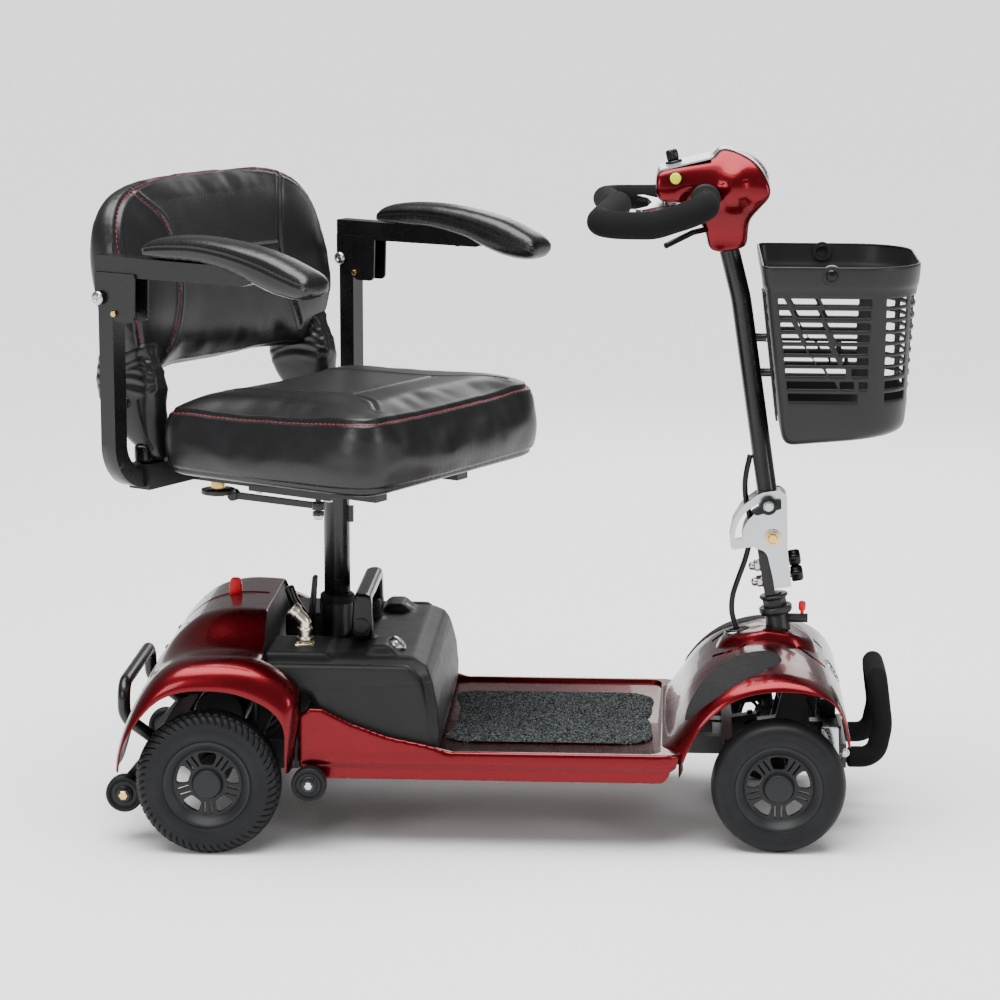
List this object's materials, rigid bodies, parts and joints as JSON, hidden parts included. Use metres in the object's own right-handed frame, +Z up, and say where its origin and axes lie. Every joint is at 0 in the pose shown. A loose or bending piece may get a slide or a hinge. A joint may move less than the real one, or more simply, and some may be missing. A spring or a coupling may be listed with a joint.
{
  "type": "mobility scooter",
  "caption": "Four-wheel travel mobility scooter with swivel seat, folding tiller, front basket, lift-out battery and anti-tip wheels.",
  "frame": {"origin": "on the ground, on the centre plane, half way between the front and rear axles", "axes": "+X forward, +Y to the rider's left, +Z up"},
  "size_m": [1.1467, 0.6972, 0.951],
  "materials": {
    "candy_red": "metallic candy red lacquer",
    "black_steel": "semi-gloss black powder coat",
    "black_plastic": "textured black moulding",
    "gloss_black": "smooth black moulding",
    "basket_plastic": "charcoal polypropylene",
    "zinc": "bright zinc plate",
    "cast_alloy": "raw cast drive casing",
    "leather": "black grained upholstery",
    "pad_skin": "smooth black polyurethane skin",
    "tyre": "black rubber",
    "foam": "closed-cell foam sleeve",
    "carpet": "ribbed carpet",
    "rim_plastic": "satin black wheel",
    "panel": "pale silver fascia",
    "yellow": "yellow button",
    "red_plastic": "red handle",
    "lens": "clear lens",
    "anti_slip": "speckled anti-slip pad"
  },
  "bodies": {
    "chassis": {"rear_frame": "black_steel", "transaxle": "cast_alloy", "rear_bumper": "black_steel", "rear_shroud": "candy_red", "seat_post_socket": "black_steel", "deck_pan": "candy_red", "deck_mat": "carpet", "front_frame": "black_steel", "headlight": "lens", "front_shroud": "candy_red", "grip_pads": "anti_slip", "front_bumper": "zinc", "bumper_foam": "foam"},
    "post": {"seat_post": "black_steel"},
    "seat": {"seat_frame": "black_steel", "seat_cushion": "leather"},
    "swivel_latch": {"swivel_lever": "black_steel"},
    "backrest": {"back_frame": "black_steel", "back_cushion": "leather"},
    "freewheel": {"freewheel_lever": "red_plastic"},
    "battery": {"battery_box": "black_plastic"},
    "battery_grip": {"battery_handle": "gloss_black"},
    "steer_lock": {"steer_lock_pin": "red_plastic"},
    "steer": {"steering_stem": "black_steel", "hinge_plates": "zinc"},
    "track_rod": {"tie_rod": "black_steel"},
    "tiller": {"tiller_tube": "black_steel", "tiller_shell": "candy_red", "control_panel": "panel", "handlebar_tube": "black_steel", "handlebar_foam": "foam", "tiller_cable": "black_plastic"},
    "fold_lock": {"fold_lock_knob": "gloss_black"},
    "dial": {"speed_dial": "gloss_black"},
    "horn": {"horn_button": "yellow"},
    "throttle": {"throttle_lever": "gloss_black"},
    "brake": {"brake_lever": "black_steel"},
    "basket": {"basket": "basket_plastic"},
    "arm_slide_left": {"arm_post_left": "black_steel"},
    "arm_left": {"arm_bar_left": "black_steel", "arm_pad_left": "pad_skin"},
    "arm_clamp_left": {"arm_knob_left": "gloss_black"},
    "rear_wheel_left": {"rear_tyre_left": "tyre", "rear_rim_left": "rim_plastic"},
    "knuckle_left": {"knuckle_left": "black_steel"},
    "front_wheel_left": {"front_tyre_left": "tyre", "front_rim_left": "rim_plastic"},
    "antitip_left": {"antitip_wheel_left": "tyre"},
    "transit_left": {"transit_wheel_left": "tyre"},
    "arm_slide_right": {"arm_post_right": "black_steel"},
    "arm_right": {"arm_bar_right": "black_steel", "arm_pad_right": "pad_skin"},
    "arm_clamp_right": {"arm_knob_right": "gloss_black"},
    "rear_wheel_right": {"rear_tyre_right": "tyre", "rear_rim_right": "rim_plastic"},
    "knuckle_right": {"knuckle_right": "black_steel"},
    "front_wheel_right": {"front_tyre_right": "tyre", "front_rim_right": "rim_plastic"},
    "antitip_right": {"antitip_wheel_right": "tyre"},
    "transit_right": {"transit_wheel_right": "tyre"}
  },
  "joints": [
    {"name": "seat_height", "type": "slide", "parent": "chassis", "child": "post", "axis": [0, 0, 1], "range_m": [0, 0.05]},
    {"name": "seat_swivel", "type": "hinge", "parent": "post", "child": "seat", "pos_m": [-0.235, 0, 0.472], "axis": [0, 0, 1], "continuous": true},
    {"name": "swivel_release", "type": "hinge", "parent": "seat", "child": "swivel_latch", "pos_m": [-0.25461, -0.05796, 0.451], "axis": [0, 0, 1], "range_deg": [0, 15], "stiffness_Nm_per_rad": 0.6},
    {"name": "back_fold", "type": "hinge", "parent": "seat", "child": "backrest", "pos_m": [-0.38915, 0.089, 0.609], "axis": [0.5, 0.866, 0], "range_deg": [0, 60]},
    {"name": "arm_width_left", "type": "slide", "parent": "seat", "child": "arm_slide_left", "axis": [0.5, 0.866, 0], "range_m": [0, 0.04]},
    {"name": "arm_lift_left", "type": "hinge", "parent": "arm_slide_left", "child": "arm_left", "pos_m": [-0.2504, 0.32932, 0.755], "axis": [-0.5, -0.866, 0], "range_deg": [0, 95]},
    {"name": "arm_clamp_turn_left", "type": "hinge", "parent": "seat", "child": "arm_clamp_left", "pos_m": [-0.27696, 0.27133, 0.53], "axis": [0, 0, 1], "continuous": true},
    {"name": "rear_wheel_spin_left", "type": "hinge", "parent": "chassis", "child": "rear_wheel_left", "pos_m": [-0.389, 0.228, 0.1], "axis": [0, 1, 0], "continuous": true},
    {"name": "wheel_steer_left", "type": "hinge", "parent": "chassis", "child": "knuckle_left", "pos_m": [0.389, 0.135, 0.0925], "axis": [-0.1736, 0, 0.9848], "range_deg": [-28, 28]},
    {"name": "front_wheel_spin_left", "type": "hinge", "parent": "knuckle_left", "child": "front_wheel_left", "pos_m": [0.389, 0.177, 0.0925], "axis": [0, 1, 0], "continuous": true},
    {"name": "antitip_spin_left", "type": "hinge", "parent": "chassis", "child": "antitip_left", "pos_m": [-0.5135, 0.1815, 0.067], "axis": [0, 1, 0], "continuous": true},
    {"name": "transit_spin_left", "type": "hinge", "parent": "chassis", "child": "transit_left", "pos_m": [-0.2505, 0.235, 0.1], "axis": [0, 1, 0], "continuous": true},
    {"name": "arm_width_right", "type": "slide", "parent": "seat", "child": "arm_slide_right", "axis": [-0.5, -0.866, 0], "range_m": [0, 0.04]},
    {"name": "arm_lift_right", "type": "hinge", "parent": "arm_slide_right", "child": "arm_right", "pos_m": [-0.5279, -0.15132, 0.755], "axis": [-0.5, -0.866, 0], "range_deg": [0, 95]},
    {"name": "arm_clamp_turn_right", "type": "hinge", "parent": "seat", "child": "arm_clamp_right", "pos_m": [-0.49096, -0.09933, 0.53], "axis": [0, 0, 1], "continuous": true},
    {"name": "rear_wheel_spin_right", "type": "hinge", "parent": "chassis", "child": "rear_wheel_right", "pos_m": [-0.389, -0.228, 0.1], "axis": [0, 1, 0], "continuous": true},
    {"name": "wheel_steer_right", "type": "hinge", "parent": "chassis", "child": "knuckle_right", "pos_m": [0.389, -0.135, 0.0925], "axis": [-0.1736, 0, 0.9848], "range_deg": [-28, 28]},
    {"name": "front_wheel_spin_right", "type": "hinge", "parent": "knuckle_right", "child": "front_wheel_right", "pos_m": [0.389, -0.177, 0.0925], "axis": [0, 1, 0], "continuous": true},
    {"name": "antitip_spin_right", "type": "hinge", "parent": "chassis", "child": "antitip_right", "pos_m": [-0.5135, -0.1815, 0.067], "axis": [0, 1, 0], "continuous": true},
    {"name": "transit_spin_right", "type": "hinge", "parent": "chassis", "child": "transit_right", "pos_m": [-0.2505, -0.235, 0.1], "axis": [0, 1, 0], "continuous": true},
    {"name": "freewheel_shift", "type": "hinge", "parent": "chassis", "child": "freewheel", "pos_m": [-0.375, 0, 0.148], "axis": [0, 1, 0], "range_deg": [-18, 10]},
    {"name": "battery_lift", "type": "slide", "parent": "chassis", "child": "battery", "axis": [0, 0, 1], "range_m": [0, 0.08]},
    {"name": "battery_handle_fold", "type": "hinge", "parent": "battery", "child": "battery_grip", "pos_m": [-0.192, 0, 0.284], "axis": [0, 1, 0], "range_deg": [0, 88]},
    {"name": "steer_lock_pull", "type": "slide", "parent": "chassis", "child": "steer_lock", "axis": [0, 0, 1], "range_m": [0, 0.008], "stiffness_N_per_m": 300},
    {"name": "tiller_steer", "type": "hinge", "parent": "chassis", "child": "steer", "pos_m": [0.3885, 0, 0.29], "axis": [-0.1736, 0, 0.9848], "range_deg": [-28, 28], "deforming": ["tiller_cable"]},
    {"name": "track_rod_turn", "type": "hinge", "parent": "steer", "child": "track_rod", "pos_m": [0.35348, 0, 0.1431], "axis": [-0.1736, 0, 0.9848], "range_deg": [-28, 28]},
    {"name": "tiller_fold", "type": "hinge", "parent": "steer", "child": "tiller", "pos_m": [0.38, 0, 0.406], "axis": [0, -1, 0], "range_deg": [0, 8], "deforming": ["tiller_cable"]},
    {"name": "fold_lock_turn", "type": "hinge", "parent": "tiller", "child": "fold_lock", "pos_m": [0.373, 0, 0.453], "axis": [0, 1, 0], "range_deg": [0, 60]},
    {"name": "speed_turn", "type": "hinge", "parent": "tiller", "child": "dial", "pos_m": [0.236, 0, 0.9247], "axis": [-0.225, 0, 0.9744], "range_deg": [-135, 135]},
    {"name": "horn_press", "type": "slide", "parent": "tiller", "child": "horn", "axis": [0, 1, 0], "range_m": [0, 0.002], "stiffness_N_per_m": 400},
    {"name": "throttle_turn", "type": "hinge", "parent": "tiller", "child": "throttle", "pos_m": [0.224, 0, 0.872], "axis": [0, 0, 1], "range_deg": [-12, 12], "stiffness_Nm_per_rad": 0.5},
    {"name": "brake_pull", "type": "hinge", "parent": "tiller", "child": "brake", "pos_m": [0.29, -0.016, 0.84], "axis": [0, 0, 1], "range_deg": [-10, 0], "stiffness_Nm_per_rad": 0.5},
    {"name": "basket_lift", "type": "slide", "parent": "tiller", "child": "basket", "axis": [0, 0, 1], "range_m": [0, 0.05]}
  ],
  "couplings": [
    {"joint": "wheel_steer_left", "follows": "tiller_steer", "ratio": 1},
    {"joint": "wheel_steer_right", "follows": "tiller_steer", "ratio": 1},
    {"joint": "track_rod_turn", "follows": "tiller_steer", "ratio": -1}
  ]
}
